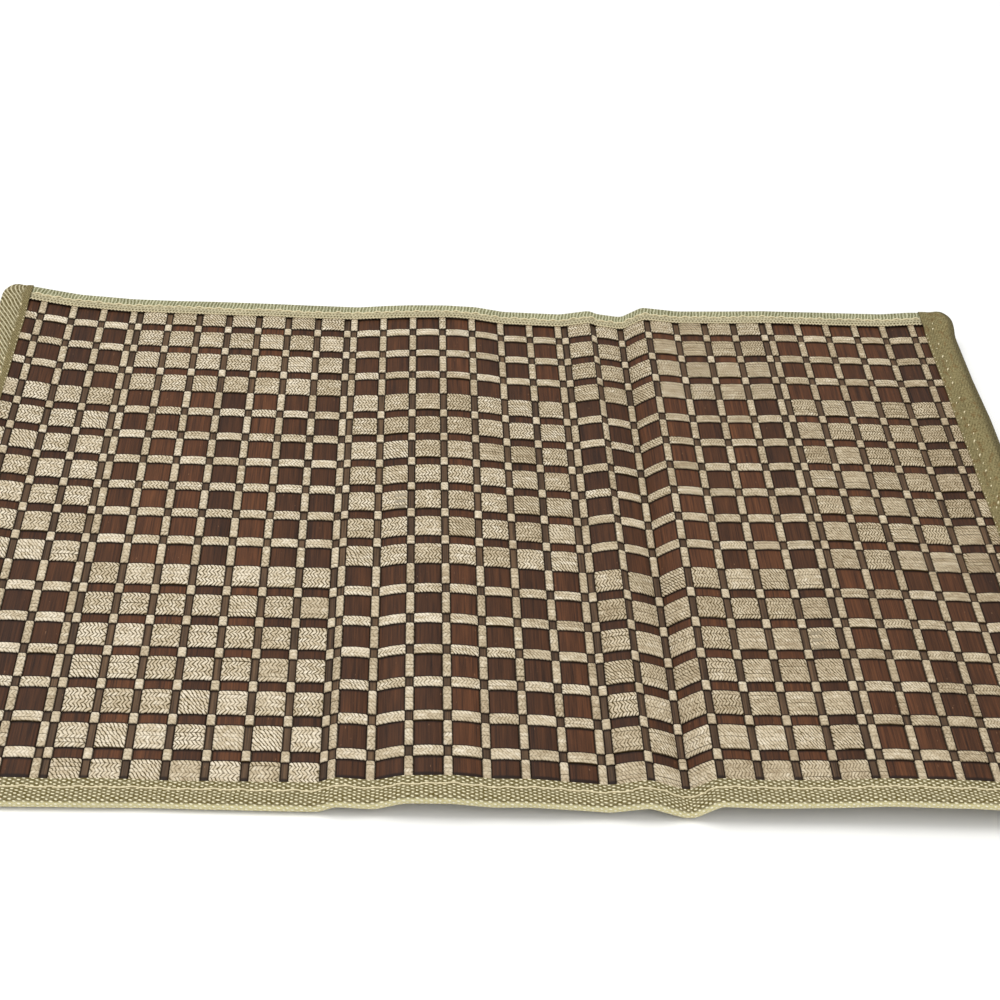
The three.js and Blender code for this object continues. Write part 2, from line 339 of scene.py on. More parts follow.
class Nodes:
    """A material's node tree, with short ways to add nodes."""

    def __init__(self, name, roughness, specular):
        self.material = bpy.data.materials.new(name)
        self.material.use_nodes = True
        self.tree = self.material.node_tree
        self.shader = self.tree.nodes["Principled BSDF"]
        self.shader.inputs["Roughness"].default_value = roughness
        self.shader.inputs["Specular IOR Level"].default_value = specular

    def put(self, socket, value):
        if isinstance(value, bpy.types.NodeSocket):
            self.tree.links.new(value, socket)
        elif value is not None:
            socket.default_value = value

    def math(self, operation, *values, clamp=False):
        node = self.tree.nodes.new("ShaderNodeMath")
        node.operation = operation
        node.use_clamp = clamp
        for socket, value in zip(node.inputs, values):
            self.put(socket, value)
        return node.outputs[0]

    def plus(self, first, second, clamp=False):
        return self.math("ADD", first, second, clamp=clamp)

    def minus(self, first, second):
        return self.math("SUBTRACT", first, second)

    def times(self, first, second, clamp=False):
        return self.math("MULTIPLY", first, second, clamp=clamp)

    def inverse(self, value):
        return self.minus(1.0, value)

    def repeat(self, value):
        """The place of value in its step of length 1, from -0.5 to 0.5."""
        return self.minus(self.math("FRACT", value), 0.5)

    def uv(self):
        node = self.tree.nodes.new("ShaderNodeUVMap")
        node.uv_map = "UVMap"
        return node.outputs[0]

    def split(self, vector):
        node = self.tree.nodes.new("ShaderNodeSeparateXYZ")
        self.put(node.inputs[0], vector)
        return node.outputs[0], node.outputs[1], node.outputs[2]

    def join(self, x, y, z):
        node = self.tree.nodes.new("ShaderNodeCombineXYZ")
        for socket, value in zip(node.inputs, (x, y, z)):
            self.put(socket, value)
        return node.outputs[0]

    def number(self, name):
        node = self.tree.nodes.new("ShaderNodeAttribute")
        node.attribute_name = name
        return node.outputs["Fac"]

    def noise(self, vector, scale, detail=3.0, roughness=0.5):
        node = self.tree.nodes.new("ShaderNodeTexNoise")
        self.put(node.inputs["Vector"], self.scaled(vector, scale))
        node.inputs["Scale"].default_value = 1.0
        node.inputs["Detail"].default_value = detail
        node.inputs["Roughness"].default_value = roughness
        return node.outputs["Fac"]

    def swing(self, vector, scale, size, detail=1.0):
        """Noise round 0, that spans about the given size."""
        return self.times(self.minus(self.noise(vector, scale, detail=detail), 0.5), size)

    def scaled(self, vector, scale):
        node = self.tree.nodes.new("ShaderNodeVectorMath")
        node.operation = "MULTIPLY"
        self.put(node.inputs[0], vector)
        node.inputs[1].default_value = scale
        return node.outputs[0]

    def ramp(self, value, stops):
        node = self.tree.nodes.new("ShaderNodeValToRGB")
        elements = node.color_ramp.elements
        while len(elements) < len(stops):
            elements.new(0.5)
        for element, (position, colour) in zip(elements, stops):
            element.position = position
            element.color = linear(colour)
        self.put(node.inputs[0], value)
        return node.outputs[0]

    def between(self, value, low, high):
        """0 below low, 1 above high and a smooth step between them."""
        node = self.tree.nodes.new("ShaderNodeMapRange")
        node.interpolation_type = "SMOOTHSTEP"
        self.put(node.inputs["Value"], value)
        self.put(node.inputs["From Min"], low)
        self.put(node.inputs["From Max"], high)
        return node.outputs[0]

    def mix(self, share, first, second, kind="MIX"):
        node = self.tree.nodes.new("ShaderNodeMix")
        node.data_type = "RGBA"
        node.blend_type = kind
        self.put(node.inputs[0], share)
        self.put(node.inputs[6], linear(first) if isinstance(first, str) else first)
        self.put(node.inputs[7], linear(second) if isinstance(second, str) else second)
        return node.outputs[2]

    def grey(self, value):
        """A grey of the given brightness, to multiply a colour with."""
        return self.join(value, value, value)

    def finish(self, colour, height=None, distance=0.0003, strength=1.0, roughness=None):
        self.put(self.shader.inputs["Base Color"], colour)
        self.put(self.shader.inputs["Roughness"], roughness)
        if height is not None:
            bump = self.tree.nodes.new("ShaderNodeBump")
            bump.inputs["Distance"].default_value = distance
            bump.inputs["Strength"].default_value = strength
            self.put(bump.inputs["Height"], height)
            self.put(self.shader.inputs["Normal"], bump.outputs[0])
        return self.material


def slat_edge_and_shade(n, uv):
    """1 at a slat's darker sides, partly stain and partly painted shade, and where the yarn or a
    tape would shade it, as painted shade; 0 elsewhere.
    """
    side = n.between(n.number("side"), 0.1, 0.8)
    # painted shade on the slat where it passes under the yarn
    under = n.inverse(n.between(n.number("crossing"), 0.25, 1.15))
    _, along, _ = n.split(uv)
    from_front = n.minus(along, FRONT_TAPE_COVER + 1.7)
    from_back = n.minus(MAT_DEPTH - BACK_TAPE_COVER - 0.6, along)
    # painted shadow of the tapes beside their inner edges
    tape_shade = n.inverse(n.between(n.math("MINIMUM", from_front, from_back), 0.0, 1.1))
    return n.math("MAXIMUM", n.math("MAXIMUM", side, under), tape_shade)


def bamboo_material():
    """Stained bamboo: u runs across a slat and v along it, in millimetres."""
    n = Nodes("bamboo_stained", roughness=0.5, specular=0.2)
    uv = n.uv()
    fine = n.noise(uv, (1.4, 0.04, 1.0), detail=4.0, roughness=0.65)
    coarse = n.noise(uv, (0.4, 0.012, 1.0), detail=3.0)
    tint = n.plus(n.number("tint"), n.swing(uv, (0.1, 0.03, 1.0), 0.6, detail=2.0))
    wide = n.ramp(tint, WIDE_SLAT_COLOURS)
    narrow = n.ramp(tint, NARROW_SLAT_COLOURS)
    base = n.mix(n.number("narrow"), wide, narrow)
    streaks = n.minus(n.plus(n.times(fine, 3.2), n.times(coarse, 1.3)), 1.23)
    shaded = n.mix(1.0, base, n.grey(streaks), "MULTIPLY")
    # painted glints: small pale specks of light on the bamboo
    glint = n.between(n.noise(uv, (1.6, 0.35, 1.0), detail=1.0), 0.74, 0.8)
    with_glints = n.mix(n.times(glint, 0.5), shaded, GLINT_COLOUR)
    # dark edges, partly stain and partly painted shade, and painted shade under the yarn and
    # beside the tapes
    colour = n.mix(n.times(slat_edge_and_shade(n, uv), 0.88), with_glints, SLAT_EDGE_AND_SHADE)
    rough = n.plus(n.times(fine, 0.25), 0.42)
    return n.finish(colour, fine, 0.00008, 0.7, rough)


def yarn_tone(n, uv, fibre):
    """A cord's lightness, with painted shade towards the right, uneven by its fibres and by small
    and broad patches.
    """
    fibres = n.times(n.minus(fibre, 0.5), 0.9)
    small = n.swing(uv, (0.9, 2.5, 1.0), 0.9, detail=2.0)
    broad = n.swing(uv, (0.33, 1.1, 1.0), 1.1)
    return n.plus(n.number("tint"), n.plus(n.plus(fibres, small), broad))


def yarn_marks(n, uv, groove, colour):
    """The colour with painted shade: in the grooves between plies, deeper at a cord's sides, in
    the gap beside a cord and under a slat.
    """
    _, v, _ = n.split(uv)
    from_middle = n.math("ABSOLUTE", n.minus(v, 0.5))
    sideways = n.math("ABSOLUTE", n.minus(n.times(from_middle, 4.0), 1.0))
    edge = n.between(sideways, 0.45, 0.95)
    # patches where the painted shade in the grooves is stronger or weaker
    groove_shade_patches = n.between(n.noise(uv, (0.5, 1.3, 1.0), detail=2.0), 0.25, 0.6)
    contrast = n.times(n.number("contrast"), n.plus(n.times(groove_shade_patches, 0.7), 0.5), clamp=True)
    # painted shade in the grooves between plies, and deeper at a cord's sides
    colour = n.mix(n.times(groove, contrast), colour, PLY_GROOVE_SHADE)
    colour = n.mix(n.times(n.times(groove, edge), contrast), colour, PLY_NOTCH_SHADE)
    # painted shade in the gap beside a cord, strong where it has a line
    beside = n.inverse(n.between(from_middle, 0.05, 0.13))
    colour = n.mix(n.times(beside, n.number("line")), colour, CORD_GAP_SHADE)
    # painted shade where a cord dives under a slat
    shade_beneath_slat = n.inverse(n.between(n.number("raised"), 0.3, 0.8))
    return n.mix(n.times(shade_beneath_slat, 0.9), colour, UNDER_SLAT_SHADE)


def yarn_material():
    """Two-ply cotton: u counts the plies along a cord and v runs once round it."""
    n = Nodes("yarn_cotton", roughness=0.95, specular=0.15)
    uv = n.uv()
    u, v, _ = n.split(uv)
    phase = n.plus(n.plus(u, n.times(v, 2.0)), n.swing(uv, (0.6, 0.9, 1.0), 1.3))
    ply = n.math("ABSOLUTE", n.math("SINE", n.times(phase, math.pi)))
    groove = n.inverse(n.between(ply, 0.15, 0.85))
    strand = n.join(n.times(phase, 6.0), n.times(v, 9.0), u)
    fibre = n.noise(strand, (1.0, 1.0, 0.8), detail=3.0)
    colour = yarn_marks(n, uv, groove, n.ramp(yarn_tone(n, uv, fibre), YARN_COLOURS))
    rounded = n.times(n.math("POWER", ply, 0.5), n.number("contrast"))
    height = n.plus(rounded, n.times(fibre, 0.35))
    return n.finish(colour, height, 0.0002, 0.8)


def oval(n, x, y):
    """1 inside a circle of radius 1 and 0 outside it, with a soft edge."""
    radius = n.math("SQRT", n.plus(n.times(x, x), n.times(y, y)))
    return n.inverse(n.between(radius, 0.45, 1.2))


def spots(n, u, w, long, high, lean=0.0, tilt=0.0):
    """A mask of oval spots in staggered rows."""
    rows = n.math("DIVIDE", w, ROW)
    odd = n.times(n.math("MODULO", n.math("FLOOR", rows), 2.0), 0.5)
    leaning = n.plus(u, n.times(w, lean))
    x = n.times(n.repeat(n.plus(n.math("DIVIDE", leaning, PITCH), odd)), PITCH)
    y = n.plus(n.times(n.repeat(rows), ROW), n.times(x, tilt))
    return oval(n, n.math("DIVIDE", x, long / 2), n.math("DIVIDE", y, high / 2))


def dots(n, u, w, at, long, high, shift=0.0):
    """A mask of one row of oval dots, at a distance in from the tape's edge."""
    x = n.times(n.repeat(n.plus(n.math("DIVIDE", u, LOOP), shift)), LOOP)
    y = n.minus(w, at)
    return oval(n, n.math("DIVIDE", x, long / 2), n.math("DIVIDE", y, high / 2))


def bars(n, u, w, pitch, lean, thin=0.0):
    """A mask of bars across the tape, leaning by lean millimetres in each one across."""
    phase = n.math("DIVIDE", n.plus(u, n.times(w, lean)), pitch)
    wave = n.math("SINE", n.times(phase, 2 * math.pi))
    return n.between(wave, thin - 0.75, thin + 0.75)


def blend(n, share, first, second):
    """The numbers first and second, mixed by share."""
    return n.plus(n.times(first, n.inverse(share)), n.times(second, share))


def mix_pairs(n, share, first, second):
    """Two pairs of a dark and a light colour, mixed by share."""
    return [n.mix(share, a, b) for a, b in zip(first, second)]


def webbing_nodes(name, slow_shift):
    """A tape's nodes with u along it and w in from its nearer edge, both a little uneven."""
    n = Nodes(name, roughness=0.92, specular=0.15)
    uv = n.uv()
    u, v, _ = n.split(uv)
    w = n.math("MINIMUM", v, n.minus(n.number("whole"), v))
    slow = n.swing(uv, (0.12, 0.3, 1.0), slow_shift, detail=2.0)
    quick = n.swing(uv, (0.45, 0.35, 1.0), 0.9)
    lift = n.swing(uv, (0.3, 0.12, 1.0), 0.4)
    return n, n.plus(u, n.plus(slow, quick)), n.plus(w, lift)


def finish_webbing(n, pattern, colours, relief=0.0003, broad_share=0.3, uneven=0.3):
    """The pattern from the dark to the light colour, fainter and darker in random patches."""
    uv = n.uv()
    fibre = n.noise(uv, (3.0, 6.0, 1.0), detail=3.0)
    broad = n.noise(uv, (0.05, 0.2, 1.0), detail=2.0)
    patchy = n.noise(uv, (0.7, 0.8, 1.0), detail=2.0)
    faded = n.times(n.between(patchy, 0.35, 0.65), uneven)
    shown = n.plus(n.times(n.minus(pattern, 0.5), n.inverse(faded)), 0.5)
    shade = n.plus(n.times(fibre, 0.4), n.times(broad, broad_share))
    shade = n.plus(shade, 0.8 - broad_share / 2)
    colour = n.mix(1.0, n.mix(shown, *colours), n.grey(shade), "MULTIPLY")
    height = n.plus(pattern, n.times(fibre, 0.3))
    return n.finish(colour, height, relief, 0.9)


def front_webbing_material():
    """Rows of light spots, softer where the tape is folded, and paler there, partly its own
    colour and partly painted light.
    """
    n, u, w = webbing_nodes("webbing_front", 0.7)
    spotted = spots(n, u, w, 1.3, 0.82, tilt=-0.15)
    folded = n.between(w, 10.4, 11.4)
    return finish_webbing(n, spotted, mix_pairs(n, folded, FRONT_FACE, FRONT_FOLD_LIT))


def back_webbing_material():
    """Two rows of beads beside the inner edge, and leaning bars from there to the fold."""
    n, u, w = webbing_nodes("webbing_back", 1.6)
    lower = dots(n, u, w, 0.95, 1.0, 1.5)
    upper = n.times(dots(n, u, w, 2.75, 0.95, 1.3, 0.45), 0.75)
    beads = n.inverse(n.math("MAXIMUM", lower, upper))
    barred = bars(n, u, w, LOOP, -0.17, 0.15)
    outer = n.between(w, 3.9, 4.5)
    outer_colours = mix_pairs(n, n.between(w, 8.2, 10.4), BACK_BARS, BACK_FOLD)
    colours = mix_pairs(n, outer, BACK_BEADS, outer_colours)
    return finish_webbing(n, blend(n, outer, beads, barred), colours, 0.0003, 0.6, 0.6)


def left_webbing_material():
    """Leaning ribs on the outer part, their bright strokes partly painted highlights, and beside
    the inner edge a finer pattern in darker colours, without those highlights.
    """
    n, u, w = webbing_nodes("webbing_left", 0.9)
    ribs = bars(n, u, w, PITCH + 0.15, -1.7, 0.62)
    speckle = n.between(n.noise(n.uv(), (1.3, 1.6, 1.0), detail=2.0), 0.35, 0.65)
    fine = blend(n, 0.6, bars(n, u, w, PITCH / 2, -1.5, 0.1), speckle)
    ragged = n.swing(n.uv(), (0.5, 0.4, 1.0), 3.5)
    outer = n.between(n.plus(w, ragged), 3.0, 4.3)
    colours = mix_pairs(n, outer, LEFT_INNER, LEFT_RIBS_LIT)
    return finish_webbing(n, blend(n, outer, fine, ribs), colours, uneven=0.45)


def right_webbing_material():
    """A close slanting weave with brown patches, darker and greyer round the fold with painted
    shade.
    """
    n, u, w = webbing_nodes("webbing_right", 1.2)
    slant = bars(n, u, w, PITCH + 0.1, -2.4)
    speckled = spots(n, u, w, 1.3, 0.6, -2.4)
    speckle = n.between(n.noise(n.uv(), (1.2, 1.2, 1.0), detail=2.0), 0.3, 0.7)
    woven = n.plus(n.times(slant, 0.22), n.times(speckled, 0.25))
    pattern = n.plus(woven, n.times(speckle, 0.7), clamp=True)
    brown = n.between(n.noise(n.uv(), (0.25, 0.4, 1.0), detail=2.0), 0.5, 0.7)
    face_colours = mix_pairs(n, brown, RIGHT_FACE, RIGHT_BROWN)
    colours = mix_pairs(n, n.between(w, 11.0, 14.0), face_colours, RIGHT_FOLD_SHADED)
    return finish_webbing(n, pattern, colours, 0.00022, 0.5)


def thread_material():
    n = Nodes("thread_light", roughness=0.7, specular=0.3)
    fibre = n.noise(n.uv(), (4.0, 6.0, 1.0), detail=2.0)
    return n.finish(n.ramp(fibre, THREAD_COLOURS), fibre, 0.0001, 0.6)


# The weave

def slat_joints():
    """Lines between the slats, with the hidden ones beside the first and last joint."""
    joints = list(LINES[2:-2])
    first, last = joints[0], joints[-1]
    before = [first - WIDE_SLAT - NARROW_SLAT, first - WIDE_SLAT]
    after = [last + WIDE_SLAT, last + WIDE_SLAT + NARROW_SLAT]
    return np.array(before + joints + after)


JOINTS = slat_joints()


def yarn_bands():
    """The bands from back to front: (start, end, cords), start being the back one."""
    pairs = [WIDE_BAND, NARROW_BAND] * 6 + [WIDE_BAND]
    widths = pairs[:7] + pairs + pairs
    edge = FIRST_BAND_END + WIDE_BAND
    bands = []
    for width in widths:
        cords = WIDE_BAND_CORDS if width == WIDE_BAND else NARROW_BAND_CORDS
        bands.append((edge, edge - width, cords))
        edge -= width
    return bands


def arch_height(share):
    """How far a wide slat bends up, share being 0 at its middle line and 1 at its sides."""
    return SLAT_ARCH * (0.5 - share ** 2)


def slat_ring(width):
    """Points round a slat: distance from its middle line, height, and 1 at its sides."""
    half, top = width / 2, SLAT_THICK / 2
    wide = width > WIDE_FROM
    left = [(-half + inward, top - drop, side) for inward, drop, side in SLAT_EDGE]
    if wide:
        left.append((-half * 0.4, top, 0.0))
    right = [(-x, z, side) for x, z, side in reversed(left)]
    upper = left + right
    lower = [(x, -z, side) for x, z, side in reversed(upper)]
    ring = np.array(upper + lower)
    if wide:
        ring[:, 1] += arch_height(ring[:, 0] / half)
    return ring


def slat_stations(start):
    """Places along a slat and how far each is from the nearest edge of a yarn band."""
    inside = MAT_DEPTH - start
    places, distances = [start], [1.0]
    for back, front, _ in reversed(yarn_bands()):
        places += [front, (front + back) / 2]
        distances += [0.0, (back - front) / 2]
    places += [yarn_bands()[0][0], inside]
    distances += [0.0, 1.0]
    keep = [i for i, p in enumerate(places) if start <= p <= inside]
    return np.array(places)[keep], np.array(distances)[keep]


def make_slats(material):
    rng = np.random.default_rng(SEEDS["slats"])
    lofts = Lofts()
    marks = np.linspace(0, MAT_DEPTH, 9)
    for k in range(len(JOINTS) - 1):
        left, right = JOINTS[k], JOINTS[k + 1]
        hidden = k == 0 or k == len(JOINTS) - 2
        ring = slat_ring(right - left - SLAT_GAP)
        stations, distances = slat_stations(SNIP_ALONG if hidden else NOSE + 0.4)
        bend = np.interp(stations, marks, rng.normal(0, SLAT_BEND, len(marks)))
        swell = 1 + np.interp(stations, marks, rng.normal(0, SLAT_SWELL, len(marks)))
        flat = np.zeros((len(stations), len(ring), 3))
        flat[..., 0] = (left + right) / 2 + bend[:, None] + ring[None, :, 0] * swell[:, None]
        flat[..., 1] = stations[:, None]
        flat[..., 2] = ring[None, :, 1]
        across = np.append(ring[:, 0], ring[0, 0]) + rng.uniform(0, 500)
        # The slats towards the right edge are a little darker: painted shade
        tint = rng.uniform(0.15, 0.75) - np.interp(left, [260, 400], [0, 0.12])
        lofts.add(
            place(flat), stations, across,
            tint=tint,
            narrow=0.0 if right - left > WIDE_FROM else 1.0,
            side=np.tile(ring[:, 2], len(stations)),
            crossing=np.repeat(distances, len(ring)),
        )
    # A loft's u runs along it. The bamboo's material has v there
    lofts.uvs = [uvs[..., ::-1] for uvs in lofts.uvs]
    return lofts.build("bamboo_slats", material)


def cord_stations():
    """Places along a cord, with the number of the slat that each is at."""
    across, slat = [], []
    for k, left in enumerate(JOINTS[:-1]):
        width = JOINTS[k + 1] - left
        near = WIDE_SLAT_STEPS if width > WIDE_FROM else NARROW_SLAT_STEPS
        steps = [0.0, *near, width / 2, *(width - step for step in reversed(near))]
        across += [left + step for step in steps]
        slat += [k] * len(steps)
    return np.array(across + [JOINTS[-1]]), np.array(slat + [len(JOINTS) - 2])


CORD_ACROSS, CORD_SLAT = cord_stations()
CORD_LEFT, CORD_RIGHT = JOINTS[CORD_SLAT], JOINTS[CORD_SLAT + 1]
OVER_WIDE = CORD_RIGHT - CORD_LEFT > WIDE_FROM
PLY_STEPS = np.diff(CORD_ACROSS) / np.interp(CORD_ACROSS[1:], YARN_PLACES, PLY_LENGTHS)
PLIES = np.append(0.0, np.cumsum(PLY_STEPS))


def cord_ring():
    """Points round a flattened cord: sideways and upwards from its middle, and their v."""
    turn = 2 * math.pi * np.arange(CORD_SIDES) / CORD_SIDES
    sideways = np.sign(np.cos(turn)) * np.sqrt(np.abs(np.cos(turn)))
    upwards = np.sin(turn)
    v = (1 - sideways) / 4
    v[upwards < -0.01] = 1 - v[upwards < -0.01]
    return sideways, upwards, np.append(v, 1.0)


CORD_SIDEWAYS, CORD_UPWARDS, CORD_V = cord_ring()


def cord_heights(band):
    """Heights of a cord over and under the slats, and 0 to 1 for how far it has risen."""
    near = np.minimum(CORD_ACROSS - CORD_LEFT, CORD_RIGHT - CORD_ACROSS)
    rise = np.sin(math.pi / 2 * np.clip(near / CORD_RISE_LENGTH, 0, 1))
    # Slat 0 is the hidden one before the first visible part of a slat
    sign = np.where((CORD_SLAT + band) % 2 == 0, 1.0, -1.0)
    share = 1 - 2 * (CORD_ACROSS - CORD_LEFT) / (CORD_RIGHT - CORD_LEFT)
    arch = np.where(OVER_WIDE, arch_height(share), 0.0) * rise
    return sign * CORD_RISE * rise + arch, rise


def add_cord(lofts, band, along, half_width, middle, plies, look, rng):
    """One cord, over and under the slats in turn. look has its numbers for the material."""
    height, rise = cord_heights(band)
    tangent = np.stack([np.gradient(CORD_ACROSS), np.gradient(height)], axis=1)
    tangent /= np.linalg.norm(tangent, axis=1)[:, None]
    every_10_mm, every_5_mm = np.linspace(0, 450, 46), np.linspace(0, 450, 91)
    wobble = np.interp(CORD_ACROSS, every_10_mm, rng.normal(0, 0.05, 46))
    plump = 1 + np.interp(CORD_ACROSS, every_5_mm, rng.normal(0, 0.03, 91))
    pinch = 1 - 0.05 * (1 - rise)
    centre = middle + (along - middle) * pinch + wobble
    wide = half_width * pinch * plump
    high = CORD_HALF_HEIGHT * (0.8 + 0.2 * rise)
    up = high[:, None] * CORD_UPWARDS[None, :]
    flat = np.zeros((len(CORD_ACROSS), CORD_SIDES, 3))
    flat[..., 0] = CORD_ACROSS[:, None] - tangent[:, 1:] * up
    flat[..., 1] = centre[:, None] + wide[:, None] * CORD_SIDEWAYS[None, :]
    flat[..., 2] = height[:, None] + tangent[:, :1] * up
    u = plies + rng.integers(0, 90)
    numbers = {name: np.repeat(values, CORD_SIDES) for name, values in look.items()}
    lofts.add(place(flat), u, CORD_V, raised=np.repeat(rise, CORD_SIDES), **numbers)


def along_cord(values):
    """The values given at YARN_PLACES, at all the places along a cord."""
    return np.interp(CORD_ACROSS, YARN_PLACES, values)


def cell_numbers(rng, low, high):
    """A random number for each slat that a band crosses, at all the places along a cord."""
    return rng.uniform(low, high, len(JOINTS) - 1)[CORD_SLAT]


def band_look(to_back, cords, rng):
    """What a band's cords share in each cell: lightness, contrast, and if they make twill."""
    # the lightness falls towards the right with painted shade
    tone = along_cord(YARN_TONES_AND_SHADE) + cell_numbers(rng, -CELL_TONE_SPREAD, CELL_TONE_SPREAD)
    tone = tone + np.where(OVER_WIDE, 0.0, along_cord(NARROW_SLAT_TONES))
    contrast = along_cord(YARN_CONTRASTS) * cell_numbers(rng, 0.6, 1.1)
    contrast = contrast * np.where(OVER_WIDE, 1.0, NARROW_SLAT_CONTRAST)
    contrast = contrast * (1.0 + BACK_CONTRAST * to_back)
    if cords == NARROW_BAND_CORDS:
        contrast = contrast * NARROW_BAND_CONTRAST
        tone = tone + NARROW_BAND_TONE
    twill_share = along_cord(TWILL_SHARES) * (1.0 + BACK_TWILL * to_back)
    return tone, contrast, cell_numbers(rng, 0, 1) < twill_share


def cord_look(n, cords, to_back, shared, rng):
    """The plies of a band's cord number n, and its numbers for the material."""
    tone, contrast, twilled = shared
    # Cords that lean the same way make twill, and by turns a herringbone
    lean = np.where(twilled | (n % 2 == 0), -1.0, 1.0)
    lined_share = along_cord(LINED_SHARES) + BACK_LINED * to_back
    lined = cell_numbers(rng, 0, 1) < np.where(OVER_WIDE, lined_share, NARROW_SLAT_LINED)
    if n == cords // 2 - 1:
        lined = lined | ~OVER_WIDE & (cell_numbers(rng, 0, 1) < MIDDLE_CORD_LINED)
    plies = lean * PLIES + cell_numbers(rng, -0.2, 0.2)
    # faint painted shade beside the cords that have no line
    faint_gap_shade = FAINT_GAP_SHADE + BACK_GAP_SHADE * to_back
    look = {
        "tint": tone + rng.normal(0, 0.05),
        "contrast": contrast * rng.uniform(0.75, 1.1),
        "line": np.where(lined, cell_numbers(rng, 0.5, 1.0), faint_gap_shade),
    }
    return plies, look


def add_band(lofts, band, start, end, cords, rng):
    """The cords of a band, side by side."""
    pitch, middle = (start - end) / cords, (start + end) / 2
    spread = 1 - CORD_OVERLAP / (cords - 1)
    to_back = middle / MAT_DEPTH
    shared = band_look(to_back, cords, rng)
    for n in range(cords):
        plies, look = cord_look(n, cords, to_back, shared, rng)
        along = middle + (start - (n + 0.5) * pitch - middle) * spread
        half_width = pitch / 2 * (1 + CORD_OVERLAP)
        add_cord(lofts, band, along, half_width, middle, plies, look, rng)


def make_yarn(material):
    rng = np.random.default_rng(SEEDS["yarn"])
    pieces = []
    bands = yarn_bands()
    shares = np.array_split(np.arange(len(bands)), YARN_PIECES)
    for number, share in enumerate(shares, start=1):
        lofts = Lofts()
        for band in share:
            add_band(lofts, band, *bands[band], rng)
        pieces.append(lofts.build(f"yarn_{number}", material))
    return pieces


# Tapes

def smooth_step(share):
    return share * share * (3 - 2 * share)


def pressed_down(from_inner_edge, stitch_in):
    """How far the tape is pressed down by its line of stitches."""
    past_stitches = from_inner_edge - stitch_in
    share = np.clip((past_stitches - RISE_START) / RISE_LENGTH, 0, 1)
    dent = DENT * np.exp(-(past_stitches / DENT_WIDTH) ** 2)
    return PRESSED * (1 - smooth_step(share)) + dent


def tape_profile(edge, reach, inside, stitch_in):
    """Rings of a folded tape: distances in from the edge and heights, outer side first."""
    flat_part = reach - edge - NOSE
    from_edge = flat_part * FLAT_PART_SHARES
    turns = np.linspace(0, math.pi, NOSE_POINTS)

    def side(depth, height, rounding):
        drop = pressed_down(from_edge, stitch_in)
        drop[0] += rounding
        top = np.stack([reach - from_edge, height - drop], axis=1)
        nose = np.stack([edge + NOSE - depth * np.sin(turns), height * np.cos(turns)], axis=1)
        return np.vstack([top, nose, top[::-1] * [1, -1]])

    outer = side(NOSE, inside + TAPE_THICK, 0.2)
    inner = side(NOSE - TAPE_THICK, inside, 0.0)
    return np.vstack([outer, inner[::-1]])


def profile_lengths(profile):
    """Distance along the outer side from its upper edge, and the same on the inner side."""
    outer = profile[:len(profile) // 2]
    length = np.append(0.0, np.cumsum(np.linalg.norm(np.diff(outer, axis=0), axis=1)))
    return np.concatenate([length, length[::-1], [0.0]])


def wander(stations, spacing, size, rng):
    """A slow random curve over the stations."""
    knots = np.arange(stations[0] - spacing, stations[-1] + 2 * spacing, spacing)
    values = rng.normal(0, size, len(knots))
    share = (stations - knots[0]) / spacing
    i = share.astype(int)
    t = smooth_step(share - i)
    return values[i] * (1 - t) + values[i + 1] * t


def long_tape_edges(at_back, stations):
    """Unevenness of a long tape: of its inner edge and of its fold."""
    rng = np.random.default_rng(SEEDS["tape_back" if at_back else "tape_front"])
    return wander(stations, 14, 0.16, rng), wander(stations, 22, 0.12, rng)


def long_tape_sizes(at_back):
    """Where a long tape ends and where its stitches lie, in from that end."""
    return (BACK_TAPE_COVER, BACK_STITCH_IN) if at_back else (FRONT_TAPE_COVER, FRONT_STITCH_IN)


def make_long_tape(name, node, at_back, material):
    stations = np.linspace(LONG_TAPE_END, MAT_WIDTH - LONG_TAPE_END, LONG_TAPE_STATIONS)
    reach, stitch_in = long_tape_sizes(at_back)
    profile = tape_profile(0, reach, LONG_TAPE_INSIDE, stitch_in)
    inner_edge, fold = long_tape_edges(at_back, stations)
    share = (profile[None, :, 0] / reach) ** 2
    inward = profile[None, :, 0] + inner_edge[:, None] * share + fold[:, None] * (1 - share)
    flat = np.zeros((len(stations), len(profile), 3))
    flat[..., 0] = stations[:, None]
    flat[..., 1] = MAT_DEPTH - inward if at_back else inward
    flat[..., 2] = profile[None, :, 1]
    lengths = profile_lengths(profile)
    lofts = Lofts()
    lofts.add(place_softly(flat), stations, lengths, whole=lengths.max())
    tape = lofts.build(name, material)
    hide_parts(node)
    return tape


def side_tape_sizes(at_right):
    """Where a side tape ends and where its stitches lie, in from that end."""
    return (RIGHT_TAPE_COVER, RIGHT_STITCH_IN) if at_right else (LEFT_TAPE_COVER, LEFT_STITCH_IN)


def side_tape_station(along, at_right):
    """How far the edge is drawn in, the height of the tape's inner side, and its closing."""
    from_end = min(along, MAT_DEPTH - along)
    drawn_in = float(np.interp(along, RIGHT_EDGE_ALONG, RIGHT_EDGE_DRAWN_IN)) if at_right else 0.0
    if from_end < CORNER_RADIUS:
        drawn_in += CORNER_RADIUS * (1 - math.sqrt(1 - (1 - from_end / CORNER_RADIUS) ** 2))
    step = min(max((from_end - STEP_DOWN_START) / (STEP_DOWN_END - STEP_DOWN_START), 0.0), 1.0)
    inside = CORNER_TAPE_INSIDE + (LONG_TAPE_INSIDE - CORNER_TAPE_INSIDE) * smooth_step(step)
    closing = 1.0
    if from_end < NOSE:
        closing = 0.35 + 0.65 * math.sqrt(1 - (1 - from_end / NOSE) ** 2)
    return drawn_in, inside, closing


def side_tape_stations():
    ends = CORNER_RADIUS * (1 - np.cos(np.linspace(0, math.pi / 2, CORNER_STATIONS)))
    middle = np.linspace(CORNER_RADIUS, MAT_DEPTH - CORNER_RADIUS, SIDE_TAPE_STATIONS)[1:-1]
    return np.concatenate([ends, middle, MAT_DEPTH - ends[::-1]])


